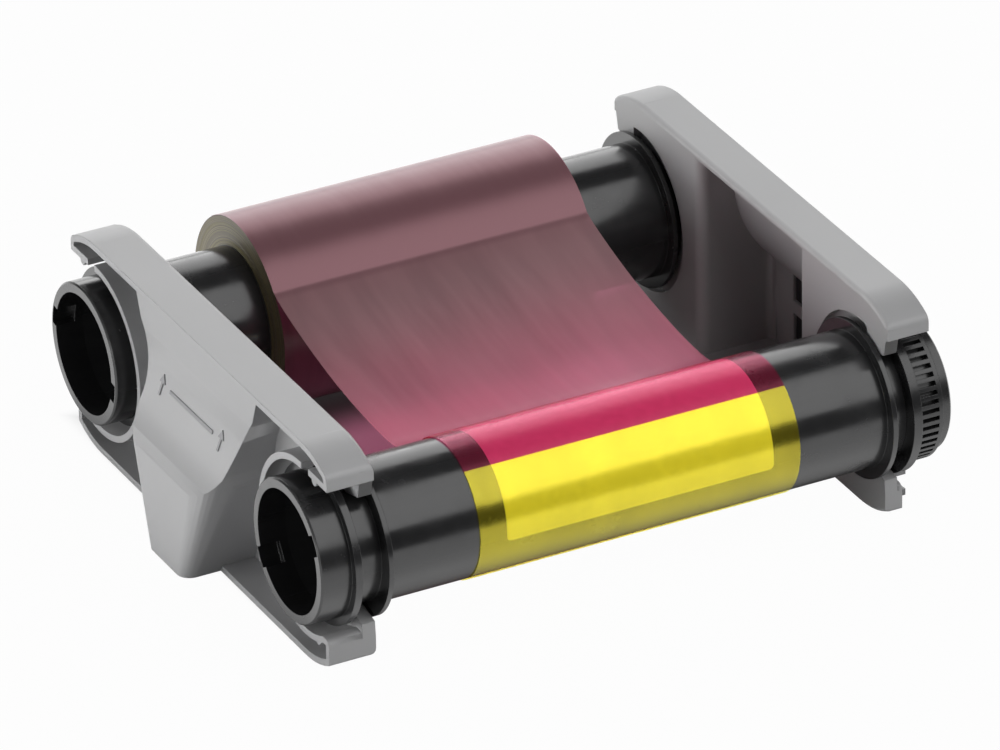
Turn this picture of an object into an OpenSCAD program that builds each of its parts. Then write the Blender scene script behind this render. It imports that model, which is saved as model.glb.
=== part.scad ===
/* [Film] */
// Width of the ribbon film
film_w = 60; // [50:1:70]
// Thickness that the film has in this model
film_t = 0.3; // [0.2:0.05:0.4]
// Outer radius of the wound supply roll
roll_r = 17.3; // [14:0.1:18]
// Height of the film's lowest point above the spool axes
film_low_z = 2.4; // [1:0.1:4]

/* [Spools] */
// Distance between the two spool axes
axis_gap = 77; // [72:1:84]
// Outer radius of a core's barrel
barrel_r = 12; // [11.7:0.1:12.3]
// Radius of the neck that turns in the flask
neck_r = 11.3; // [10.8:0.1:11.4]
// Radius of the bore through a core
bore_r = 9.8; // [9:0.1:10]
// Outer radius of the open end tube
end_r = 12.6; // [12.2:0.1:13]
// Radius of the drive socket in the end tube
socket_r = 10.8; // [10.4:0.1:11.2]
// Depth of the drive socket
socket_l = 5; // [4:0.5:6]
// Outer radius of the rings, the flanges and the hub's rim
flange_r = 14; // [13.4:0.1:14.3]
// Reach of the open end tube past the flask's inner face
end_reach = 11.4; // [10:0.1:12]
// Number of slots round the drive hub
slot_count = 52; // [40:1:60]
// Outer radius of the slotted ring
slot_ring_r = 12.8; // [12.4:0.1:13.2]
// Radius of the drive bore in the hub
hub_bore_r = 8; // [7:0.1:8.2]

/* [Flasks] */
// Distance between the inner faces of the two flasks
web_gap = 96; // [90:1:110]
// Height of a flask from its lower rail to its upper rail
flask_h = 40.4; // [39.6:0.2:42]
// Width of the left flask's rails
rail_w = 8.6; // [8:0.1:10]
// Width of the right flask's rails
right_rail_w = 7.9; // [7.5:0.1:9]
// Thickness of the web
web_t = 2.4; // [2:0.1:3]
// Thickness of the rails and the collars
wall_t = 1.2; // [1:0.1:1.4]
// Inner radius of the collars round the spool ends
collar_r = 15; // [14.8:0.1:15.4]
// Reach of the upper jaws past a spool's axis
jaw_reach = 9.6; // [9:0.1:10.5]
// Reach of the lower jaws past a spool's axis
lower_reach = 9; // [8.6:0.1:10]
// Radius that the rails' ends curve in with
end_round_r = 19; // [17:0.5:24]

/* [Grips] */
// Reach of a grip past the rails
grip_reach = 7; // [5:0.5:9]
// Half the width of a grip at the height of the axes
grip_half_w = 15.6; // [14.5:0.1:16]
// Half the width of the left grip at its foot
foot_half_w = 7.1; // [6:0.1:9]
// Radius of the finger scoop
scoop_r = 22; // [20:0.5:26]
// Thickness of a grip's wall
grip_t = 1.3; // [1.1:0.1:1.5]

/* [Hidden] */
$fn = 96;
// How far a cut runs past what it cuts
overrun = 1;
// Thickness of the slices that a hull spans
slice = 0.02;

// Fits between the spools and the flasks
neck_gap = 0.1;
flange_gap = 0.3;
hub_gap = 0.4;
plug_gap = 0.05;
// Gap between the free film and the rolls that turn under it
run_gap = 0.3;

// Stations and small radii of a core
flange_t = 0.9;
ring_t = 1.3;
ring_gap = 2.1;
half_gap = web_gap / 2;
end_x = -half_gap - end_reach;
ring_x = -half_gap - web_t - ring_gap - ring_t;
left_flange_x = -half_gap + flange_gap;
right_flange_x = half_gap - flange_gap - flange_t;
core_end_x = half_gap + web_t + hub_gap;
key_w = 3.6;
key_l = 3.5;
key_wall = 0.5;
taper_l = 8;
supply_key_a = 11;
take_up_key_a = -31;
end_chamfer = 0.3;

// The drive hub
rim_t = 1.6;
slot_band_l = 4.7;
slot_l = 3.5;
slot_w = 0.8;
slot_depth = 1.4;
slot_margin = 0.4;
end_band_step = 1;
end_band_r = slot_ring_r - end_band_step;
end_band_l = 2.1;
plug_l = 10;
plug_r = bore_r - plug_gap;

// The film and what is wound on the cores
leader_t = 0.1;
label_t = 0.1;
label_w = 50;
label_start_a = 45;
label_end_a = 188;
wrap_t = 0.12;
wrap_in_r = barrel_r + label_t;
wrap_out_r = wrap_in_r + wrap_t;
touch_a = 38;
panel_a = 123;
leave_a = 142;
low_share = 0.286;
leave_pull_share = 0.026;
low_pull_share = 0.234;
rise_pull_share = 0.065;
touch_pull_share = 0.052;
path_steps = 18;

// Places of the axes and the height of the part
half_h = flask_h / 2;
front_reach = max(flange_r, jaw_reach);
rear_reach = max(roll_r, flange_r);
take_up_y = (front_reach - axis_gap - rear_reach) / 2;
supply_y = take_up_y + axis_gap;

// The jaws and mouths of a flask
neck_bore_r = neck_r + neck_gap;
lip_rise = 2.2;
nose_z = collar_r + lip_rise;
finger_drop = 1.6;
finger_z = collar_r - finger_drop;
upper_corner = 1.6;
lower_corner = 0.4;
finger_corner = 1.2;
end_steps = 16;
corner_steps = 6;
edge_r = 0.9;
edge_past_share = 0.4;
edge_sweep = 34;
lip_half = 10.7;
lip_y = -sqrt(neck_bore_r * neck_bore_r - lip_half * lip_half);
mouth_half = 12.4;
mouth_y = -jaw_reach - overrun;
upper_lip_root = 5.7;
lower_lip_root = 7.6;
recess_depth = 1.6;
recess_past = 2.6;
finger_w = 3.3;
finger_back = 2;
detent_r = 0.9;
detent_y = -5;
relief_w = 2.5;
relief_y = -2.9;
relief_h = 4;

// The grips
grip_out = rail_w + grip_reach;
grip_mid = axis_gap / 2;
grip_arc_r = grip_mid - grip_half_w;
grip_top_w = 22.9;
grip_corner = 6.8;
foot_corner = 2.5;
scoop_drop = 6.4;
scoop_z = half_h - scoop_drop;
scoop_u = rail_w + scoop_r;
right_scoop_z = scoop_z + rail_w - right_rail_w;
right_scoop_r = scoop_u - right_rail_w;
box_half_w = 18.6;
box_corner = 3;
opening_round = 2;
window_w = 20;
window_h = 5.2;
window_top = -3.2;
window_pitch = 7.6;
tag_w = 24;
tag_h = 13.6;
tag_t = 0.7;
tag_gap = 0.1;
tag_z = window_top - (window_h + window_pitch) / 2;

// Turns a spool's own axis, drawn along Z, onto X; angles then run from the rear to the top
module along_x() {
    rotate([90, 0, 90]) children();
}

module at_take_up() {
    translate([0, take_up_y, half_h]) children();
}

module at_supply() {
    translate([0, supply_y, half_h]) children();
}

// A slab of a side outline drawn as depth and height, between two stations along X
module slab(from, to) {
    translate([from, 0, 0]) rotate([90, 0, 90]) linear_extrude(to - from) children();
}

// Copies an outline at both spool axes, with its front turned outwards
module both_axes() {
    children();
    translate([axis_gap, 0]) mirror([1, 0]) children();
}

// Copies an outline to the four jaws
module four_jaws() {
    both_axes() {
        children();
        mirror([0, 1]) children();
    }
}

// Copies an outline to the two upper or, upside down, to the two lower jaws
module jaw_pair(upper) {
    both_axes() mirror([0, upper ? 0 : 1]) children();
}

// The core: a tube with a drive socket, a ring, two necks and two flanges
module core_body() {
    rotate_extrude() polygon([
        [socket_r, end_x],
        [end_r - end_chamfer, end_x],
        [end_r, end_x + end_chamfer],
        [end_r, ring_x],
        [flange_r, ring_x],
        [flange_r, ring_x + ring_t],
        [neck_r, ring_x + ring_t],
        [neck_r, left_flange_x],
        [flange_r, left_flange_x],
        [flange_r, left_flange_x + flange_t],
        [barrel_r, left_flange_x + flange_t],
        [barrel_r, right_flange_x],
        [flange_r, right_flange_x],
        [flange_r, right_flange_x + flange_t],
        [neck_r, right_flange_x + flange_t],
        [neck_r, core_end_x],
        [bore_r, core_end_x],
        [bore_r, end_x + socket_l + taper_l],
        [socket_r, end_x + socket_l]
    ]);
}

// Two key slots, opposite each other, in the mouth of the drive socket
module key_slots() {
    key_r = end_r - key_wall;
    translate([-key_r, -key_w / 2, end_x - overrun]) cube([2 * key_r, key_w, key_l + overrun]);
}

module core(key_a) {
    color("#1c1c1d") along_x() difference() {
        core_body();
        rotate(key_a) intersection() {
            key_slots();
            translate([0, 0, end_x - overrun]) cylinder(r = end_r - key_wall, h = end_reach);
        }
    }
}

// The hub: a plug in the core, a rim, a slotted ring and an end band
module hub_body() {
    rim_x = core_end_x + rim_t;
    band_x = rim_x + slot_band_l;
    rotate_extrude() polygon([
        [hub_bore_r, core_end_x - plug_l],
        [plug_r - end_chamfer, core_end_x - plug_l],
        [plug_r, core_end_x - plug_l + end_chamfer],
        [plug_r, core_end_x],
        [flange_r, core_end_x],
        [flange_r, rim_x],
        [slot_ring_r, rim_x],
        [slot_ring_r, band_x],
        [end_band_r, band_x],
        [end_band_r, band_x + end_band_l - end_chamfer],
        [end_band_r - end_chamfer, band_x + end_band_l],
        [hub_bore_r, band_x + end_band_l]
    ]);
}

module drive_hub() {
    slot_x = core_end_x + rim_t + slot_margin;
    color("#1a1a1b") along_x() difference() {
        hub_body();
        for (i = [0:slot_count - 1])
            rotate(i * 360 / slot_count)
                translate([slot_ring_r - slot_depth, -slot_w / 2, slot_x])
                    cube([slot_depth + overrun, slot_w, slot_l]);
    }
}

// A sleeve round a core between two radii and two angles
module sleeve(inner, outer, width, from, to) {
    along_x() rotate(from) translate([0, 0, -width / 2])
        rotate_extrude(angle = to - from) translate([inner, 0]) square([outer - inner, width]);
}

// The film's free path, as points in depth and height from the take-up axis
function on_circle(r, a) = [r * cos(a), r * sin(a)];
function tangent(a) = [-sin(a), cos(a)];
function curve(p, q, r, s, t) =
    p * pow(1 - t, 3) + 3 * q * t * pow(1 - t, 2) + 3 * r * t * t * (1 - t) + s * pow(t, 3);
function steps(p, q, r, s) = [for (i = [0:path_steps]) curve(p, q, r, s, i / path_steps)];
film_gap = run_gap + film_t / 2;
leave_p = [axis_gap, 0] + on_circle(roll_r + film_gap, leave_a);
touch_p = on_circle(wrap_out_r + film_gap, touch_a);
low_p = [axis_gap * low_share, film_low_z];
leave_pull = leave_pull_share * axis_gap;
low_pull = low_pull_share * axis_gap;
rise_pull = rise_pull_share * axis_gap;
touch_pull = touch_pull_share * axis_gap;
fall = steps(leave_p, leave_p + tangent(leave_a) * leave_pull, low_p + [low_pull, 0], low_p);
rise = steps(low_p, low_p - [rise_pull, 0], touch_p - tangent(touch_a) * touch_pull, touch_p);
film_path = concat(fall, [for (i = [1:path_steps]) rise[i]]);
last = len(film_path) - 1;
function unit(v) = v / norm(v);
function along(i) = unit(film_path[min(i + 1, last)] - film_path[max(i - 1, 0)]);
function side(i, s) = film_path[i] + [-along(i)[1], along(i)[0]] * s * film_t / 2;

module film_span() {
    color("#a8607c") at_take_up() slab(-film_w / 2, film_w / 2)
        polygon(concat([for (i = [0:last]) side(i, 1)], [for (i = [last:-1:0]) side(i, -1)]));
}

module supply_roll() {
    color("#8a6068") at_supply() along_x() difference() {
        translate([0, 0, -film_w / 2]) cylinder(r = roll_r, h = film_w);
        translate([0, 0, -film_w / 2 - overrun])
            cylinder(r = barrel_r + leader_t, h = film_w + 2 * overrun);
    }
}

module supply_leader() {
    color("#d8d8d4") at_supply() sleeve(barrel_r, barrel_r + leader_t, film_w, 0, 360);
}

module take_up_label() {
    color("#f2f2ee") at_take_up()
        sleeve(barrel_r, barrel_r + label_t, label_w, label_start_a, label_end_a);
}

module take_up_magenta_wrap() {
    color("#c8375f") at_take_up() sleeve(wrap_in_r, wrap_out_r, film_w, touch_a, panel_a);
}

module take_up_yellow_wrap() {
    color("#f2e236") at_take_up() sleeve(wrap_in_r, wrap_out_r, film_w, panel_a, 360 + touch_a);
}

// Points of an arc about a centre, between two angles
function arc(centre, r, from, to, count) =
    [for (i = [0:count]) centre + on_circle(r, from + (to - from) * i / count)];

// One jaw, drawn in by an inset: its rail curves in to a rounded corner and a flat front
module jaw(inset, low_z, reach, corner, low_corner) {
    big_r = end_round_r - inset;
    r = max(corner - inset, slice);
    low_r = max(low_corner - inset, slice);
    front = inset - reach;
    mid = [0, half_h - end_round_r];
    rise = sqrt(pow(big_r - r, 2) - pow(front + r, 2));
    meet_a = 180 - atan2(rise, -front - r);
    polygon(concat(
        [[overrun, low_z + inset], [overrun, half_h - inset]],
        arc(mid, big_r, 90, meet_a, end_steps),
        arc(mid + [front + r, rise], r, meet_a, 180, corner_steps),
        arc([front + low_r, low_z + inset + low_r], low_r, 180, 270, corner_steps)
    ));
}

// A side outline from rail to rail with its four jaws, drawn in by an inset
module side_outline(inset) {
    translate([0, inset - half_h]) square([axis_gap, flask_h - 2 * inset]);
    jaw_pair(true) jaw(inset, collar_r, jaw_reach, upper_corner, 0);
    jaw_pair(false) jaw(inset, finger_z, lower_reach, lower_corner, finger_corner);
}

// The wall that runs along the rails, round the noses and round both collars
module wall_outline() {
    difference() {
        side_outline(0);
        both_axes() circle(collar_r);
        difference() {
            side_outline(wall_t);
            both_axes() circle(collar_r + wall_t);
        }
    }
    four_jaws() translate([detent_y, collar_r]) circle(detent_r);
}

// The web with its snap lips and the bores that the necks turn in
module web_outline() {
    difference() {
        union() {
            side_outline(0);
            jaw_pair(true)
                polygon([[0, 0], [-upper_lip_root, 0], [-jaw_reach, nose_z], [0, nose_z]]);
            jaw_pair(false)
                polygon([[0, 0], [-lower_lip_root, 0], [-lower_reach, finger_z + finger_corner],
                         [0, nose_z]]);
        }
        both_axes() circle(neck_bore_r);
        both_axes() polygon([
            [0, -lip_half], [lip_y, -lip_half], [mouth_y, -mouth_half],
            [mouth_y, mouth_half], [lip_y, lip_half], [0, lip_half]
        ]);
    }
}

// Notches that let the upper jaws spring
module jaw_reliefs(rail) {
    slab(rail - relief_h, rail + overrun) jaw_pair(true)
        translate([relief_y, collar_r - detent_r]) square([relief_w, wall_t + 2 * detent_r]);
}

// Recesses in the web's inner face that the flanges turn in front of
module flange_recesses() {
    slab(-overrun, recess_depth) both_axes() intersection() {
        circle(collar_r);
        translate([-recess_past, -collar_r]) square(2 * collar_r);
    }
}

// The right flask's lower jaws end short of the printer's gears, and only their tips reach on
module gear_room() {
    slab(finger_w, right_rail_w + overrun) jaw_pair(false)
        translate([mouth_y, 0]) square([-mouth_y - finger_back, half_h + overrun]);
}

// A level slice of a grip with rounded outer corners
module grip_slice(half_w, out, corner, z) {
    translate([0, grip_mid, z]) linear_extrude(slice) {
        translate([0, -half_w]) square([out - corner, 2 * half_w]);
        for (s = [-1, 1])
            translate([out - corner, s * (half_w - corner)]) circle(corner, $fn = 32);
    }
}

// The upright block of a grip, from its foot to the upper rail, drawn in by an inset
module grip_block(foot_w, mid_w, top_w, foot_c, mid_c, inset, floor_t) {
    hull() {
        grip_slice(foot_w - inset, grip_out - inset, max(foot_c - inset, slice), floor_t - half_h);
        grip_slice(mid_w - inset, grip_out - inset, mid_c - inset, 0);
        grip_slice(top_w - inset, grip_out - inset, mid_c - inset, half_h - floor_t - slice);
    }
}

// What a finger scoop takes away: a wide round along Y, and all above it
module scoop(inset) {
    translate([scoop_u, -overrun, scoop_z]) rotate([-90, 0, 0])
        cylinder(r = scoop_r + inset, h = axis_gap + 2 * overrun, $fn = 180);
    translate([rail_w - inset, -overrun, scoop_z])
        cube([grip_reach + inset + overrun, axis_gap + 2 * overrun, half_h]);
}

// Round spaces kept free about both spool axes
module axis_rounds(r) {
    for (y = [0, axis_gap])
        translate([-overrun, y, 0]) rotate([0, 90, 0])
            cylinder(r = r, h = grip_out + 2 * overrun);
}

// The left grip narrows towards its foot, and its sides are rounded about the spools
module tapered_grip(inset, floor_t) {
    difference() {
        grip_block(foot_half_w, grip_half_w, grip_top_w, foot_corner, grip_corner, inset, floor_t);
        scoop(inset);
        axis_rounds(grip_arc_r + inset);
    }
}

// The right grip seen along Y, from a station outwards: its foot, outer face and scoop
module boxed_side(inset, floor_t, from) {
    difference() {
        translate([from, floor_t - half_h])
            square([grip_out - inset - from, flask_h - 2 * floor_t]);
        translate([scoop_u, right_scoop_z]) circle(right_scoop_r + inset, $fn = 180);
        translate([right_rail_w - inset, right_scoop_z]) square([grip_out + overrun, half_h]);
    }
}

// The right grip seen from above, with rounded outer corners
module boxed_plan(inset, from) {
    half_w = box_half_w - inset;
    r = box_corner - inset;
    out = grip_out - inset;
    translate([from, -half_w]) square([out - r - from, 2 * half_w]);
    translate([from, r - half_w]) square([out - from, 2 * (half_w - r)]);
    for (s = [-1, 1])
        translate([out - r, s * (half_w - r)]) circle(r);
}

// The right grip has upright sides
module boxed_grip(inset, floor_t, from) {
    intersection() {
        translate([0, axis_gap, 0]) rotate([90, 0, 0]) linear_extrude(axis_gap)
            boxed_side(inset, floor_t, from);
        translate([0, grip_mid, -half_h]) linear_extrude(flask_h) boxed_plan(inset, from);
    }
}

// What rounds the edge at the corner of two faces, drawn at the origin with the corner up and left
module edge_cut() {
    bend = [for (a = [0:30:90]) [edge_r - edge_r * cos(a), edge_r * sin(a) - edge_r]];
    first = bend[0] - (bend[1] - bend[0]) * edge_past_share;
    end = bend[3] + (bend[3] - bend[2]) * edge_past_share;
    polygon([first, bend[1], bend[2], end, [end[0], overrun], [-overrun, overrun],
             [-overrun, first[1]]]);
}

// Rounds the rails' edges on the flask's inner face, along the rails and their curved ends
module rail_edges() {
    for (s = [0, 1]) mirror([0, 0, s]) {
        translate([0, axis_gap + slice, half_h]) rotate([90, 0, 0])
            linear_extrude(axis_gap + 2 * slice) edge_cut();
        for (e = [0, 1]) translate([0, e * axis_gap, half_h - end_round_r]) mirror([0, e, 0])
            along_x() rotate(90) rotate_extrude(angle = edge_sweep)
                translate([end_round_r, 0]) mirror([1, -1]) edge_cut();
    }
}

// A flask without its grip, drawn with its inner face at zero and its outside along +X
module flask_frame(rail) {
    difference() {
        union() {
            slab(0, web_t) web_outline();
            slab(0, rail) wall_outline();
        }
        jaw_reliefs(rail);
        flange_recesses();
        rail_edges();
    }
}

module left_flask() {
    color("#b9b9ba") at_take_up() mirror([1, 0, 0]) translate([half_gap, 0, 0]) difference() {
        union() {
            flask_frame(rail_w);
            tapered_grip(0, 0);
        }
        translate([-overrun, 0, 0]) tapered_grip(grip_t, wall_t);
        tapered_grip(grip_t, wall_t);
    }
}

// The hollow of the right grip, with rounded edges at its opening
module boxed_pocket() {
    half_w = box_half_w - grip_t;
    boxed_grip(grip_t, wall_t, -overrun);
    difference() {
        translate([-overrun, grip_mid - half_w - opening_round, wall_t - half_h])
            cube([opening_round + overrun, 2 * (half_w + opening_round), flask_h - 2 * wall_t]);
        for (s = [-1, 1])
            translate([opening_round, grip_mid + s * (half_w + opening_round), -half_h])
                cylinder(r = opening_round, h = flask_h);
    }
}

// Two windows in the outer wall of the right grip, behind the tag's seat
module tag_windows() {
    for (i = [0, 1])
        translate([grip_out - grip_t - overrun, grip_mid - window_w / 2,
                   window_top - window_h - i * window_pitch])
            cube([grip_t + 2 * overrun, window_w, window_h]);
}

module tag_seat() {
    translate([grip_out - tag_t, grip_mid - tag_w / 2, tag_z - tag_h / 2])
        cube([tag_t + overrun, tag_w, tag_h]);
}

module right_flask() {
    color("#b0b0b1") at_take_up() translate([half_gap, 0, 0]) difference() {
        union() {
            flask_frame(right_rail_w);
            boxed_grip(0, 0, 0);
        }
        boxed_pocket();
        tag_windows();
        tag_seat();
        gear_room();
    }
}

module identity_tag() {
    color("#2a2a2c") at_take_up() translate([half_gap + grip_out - tag_t, grip_mid, tag_z])
        translate([0, tag_gap - tag_w / 2, tag_gap - tag_h / 2])
            cube([tag_t, tag_w - 2 * tag_gap, tag_h - 2 * tag_gap]);
}

module supply_core() {
    at_supply() core(supply_key_a);
}

module take_up_core() {
    at_take_up() core(take_up_key_a);
}

module supply_drive_hub() {
    at_supply() drive_hub();
}

module take_up_drive_hub() {
    at_take_up() drive_hub();
}

left_flask();
right_flask();
supply_core();
supply_drive_hub();
take_up_core();
take_up_drive_hub();
supply_roll();
supply_leader();
film_span();
take_up_magenta_wrap();
take_up_yellow_wrap();
take_up_label();
identity_tag();
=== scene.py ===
"""Looks of the ribbon cassette: moulded flasks, glossy spools, dye film, light and camera."""
import logging
import math
from collections.abc import Sequence
from dataclasses import dataclass
from enum import Enum

import bmesh
import bpy
from mathutils import Matrix, Vector


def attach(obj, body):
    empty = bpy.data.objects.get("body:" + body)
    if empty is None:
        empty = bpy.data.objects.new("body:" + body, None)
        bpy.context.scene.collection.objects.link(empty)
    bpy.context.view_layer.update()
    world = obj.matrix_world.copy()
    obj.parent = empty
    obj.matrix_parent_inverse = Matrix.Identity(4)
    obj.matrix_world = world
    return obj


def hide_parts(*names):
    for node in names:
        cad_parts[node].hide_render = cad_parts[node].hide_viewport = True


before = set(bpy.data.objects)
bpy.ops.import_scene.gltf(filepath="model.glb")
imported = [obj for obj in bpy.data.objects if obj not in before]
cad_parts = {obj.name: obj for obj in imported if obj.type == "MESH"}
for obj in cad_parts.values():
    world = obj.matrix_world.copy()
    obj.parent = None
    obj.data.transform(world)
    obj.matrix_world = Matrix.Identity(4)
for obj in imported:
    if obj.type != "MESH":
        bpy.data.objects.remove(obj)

LOG = logging.getLogger("ribbon_cassette")
MM = 0.001
# Points closer together than this, in metres, count as one.
WELD = 1e-6
Socket = bpy.types.NodeSocket
Tree = bpy.types.NodeTree


class Body(Enum):
    """The bodies of the frame that pieces ride on."""

    FRAME = "frame"
    SUPPLY = "supply_spool"
    TAKE_UP = "take_up_spool"


class Side(Enum):
    """Which flask a thing belongs to, as the sign of its place along X."""

    LEFT = -1
    RIGHT = 1


def linear(colour: str) -> tuple[float, float, float, float]:
    """Turns an sRGB hex colour to the linear values that Blender's sockets take.

    Args:
        colour: Six hex digits, such as "b9b9ba".

    Returns:
        Red, green, blue and full opacity.
    """
    parts = [int(colour[i:i + 2], 16) / 255 for i in (0, 2, 4)]
    bent = [c / 12.92 if c <= 0.04045 else ((c + 0.055) / 1.055) ** 2.4 for c in parts]
    return bent[0], bent[1], bent[2], 1.0


def add(tree: Tree, kind: str, inputs: dict | None = None, output: str | int = 0,
        stops: Sequence[tuple[float, str]] = (), **settings: object) -> Socket:
    """Adds a shader node with its settings and inputs.

    Args:
        tree: The material's or world's node tree.
        kind: The node type without its ShaderNode prefix.
        inputs: Input name or index to a constant or to the socket that feeds it.
        output: Name or index of the output that is used.
        stops: A colour ramp's places in rising order with their sRGB hex colours.
        **settings: Attributes of the node.

    Returns:
        That output.
    """
    made = tree.nodes.new("ShaderNode" + kind)
    for name, value in settings.items():
        setattr(made, name, value)
    for name, value in (inputs or {}).items():
        if isinstance(value, Socket):
            tree.links.new(value, made.inputs[name])
        else:
            made.inputs[name].default_value = value
    for i, (place, colour) in enumerate(stops):
        band = made.color_ramp.elements
        stop = band[i] if i < len(band) else band.new(place)
        stop.position = place
        stop.color = linear(colour)
    return made.outputs[output]


def new_material(name: str) -> tuple[bpy.types.Material, Tree, bpy.types.Node]:
    """Makes an empty node material.

    Args:
        name: The material's name.

    Returns:
        The material, its node tree and its output node.
    """
    material = bpy.data.materials.new(name)
    material.use_nodes = True
    tree = material.node_tree
    tree.nodes.clear()
    return material, tree, tree.nodes.new("ShaderNodeOutputMaterial")


@dataclass(frozen=True)
class MouldedSatin:
    """Injection moulded polystyrene from a spark eroded mould: even grey, fine dull grain.

    Attributes:
        name: The material's name.
        colour: Its grey.
        dull: The grey of the darker clouds in it.
        roughness: Its middle roughness.
        grain_mm: Size of the spark grain in millimetres.
    """

    name: str
    colour: str
    dull: str
    roughness: float = 0.46
    grain_mm: float = 0.25

    def build(self) -> bpy.types.Material:
        """Makes the material.

        Returns:
            The material.
        """
        material, tree, out = new_material(self.name)
        place = add(tree, "TexCoord", output="Object")
        # Slow change of tone from uneven cooling, a few centimetres across.
        cloud = add(tree, "TexNoise", {"Vector": place, "Scale": 1 / (28 * MM), "Detail": 3.0})
        tone = add(tree, "ValToRGB", {"Fac": cloud}, stops=[(0.3, self.dull), (0.7, self.colour)])
        # Real spark grain is about 0.05 mm: it is drawn coarser so that it shows in the render.
        grain = add(tree, "TexNoise", {"Vector": place, "Scale": 1 / (self.grain_mm * MM),
                                       "Detail": 2.0})
        rough = add(tree, "MapRange", {"Value": grain, "To Min": self.roughness - 0.05,
                                       "To Max": self.roughness + 0.06})
        soft = add(tree, "Bevel", {"Radius": 0.22 * MM}, samples=4)
        bump = add(tree, "Bump", {"Strength": 0.12, "Distance": 0.02 * MM, "Height": grain,
                                  "Normal": soft})
        shader = add(tree, "BsdfPrincipled", {"IOR": 1.55, "Base Color": tone, "Roughness": rough,
                                              "Normal": bump})
        tree.links.new(shader, out.inputs["Surface"])
        return material


@dataclass(frozen=True)
class MouldedGloss:
    """Black ABS from a polished mould: deep colour, clear highlights, faint flow marks.

    Attributes:
        name: The material's name.
        colour: Its black.
        lift: The black of the flow marks.
        roughness: Its roughness between the handling marks.
    """

    name: str
    colour: str
    lift: str
    roughness: float = 0.21

    def build(self) -> bpy.types.Material:
        """Makes the material.

        Returns:
            The material.
        """
        material, tree, out = new_material(self.name)
        place = add(tree, "TexCoord", output="Object")
        # Flow marks run along the tube, about 2 mm apart round it and 30 mm long.
        flow = add(tree, "Mapping", {"Vector": place, "Scale": (0.07, 1.0, 1.0)})
        streak = add(tree, "TexNoise", {"Vector": flow, "Scale": 1 / (2.2 * MM), "Detail": 3.0})
        tone = add(tree, "ValToRGB", {"Fac": streak},
                   stops=[(0.35, self.colour), (0.75, self.lift)])
        # Handling marks: soft patches about 6 mm across.
        smudge = add(tree, "TexNoise", {"Vector": place, "Scale": 1 / (6 * MM), "Detail": 4.0,
                                        "Roughness": 0.6})
        rough = add(tree, "MapRange", {"Value": smudge, "From Min": 0.35, "From Max": 0.75,
                                       "To Min": self.roughness - 0.04,
                                       "To Max": self.roughness + 0.1})
        soft = add(tree, "Bevel", {"Radius": 0.16 * MM}, samples=4)
        bump = add(tree, "Bump", {"Strength": 0.1, "Distance": 0.03 * MM, "Height": streak,
                                  "Normal": soft})
        shader = add(tree, "BsdfPrincipled", {"IOR": 1.54, "Base Color": tone, "Roughness": rough,
                                              "Normal": bump})
        tree.links.new(shader, out.inputs["Surface"])
        return material


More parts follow.
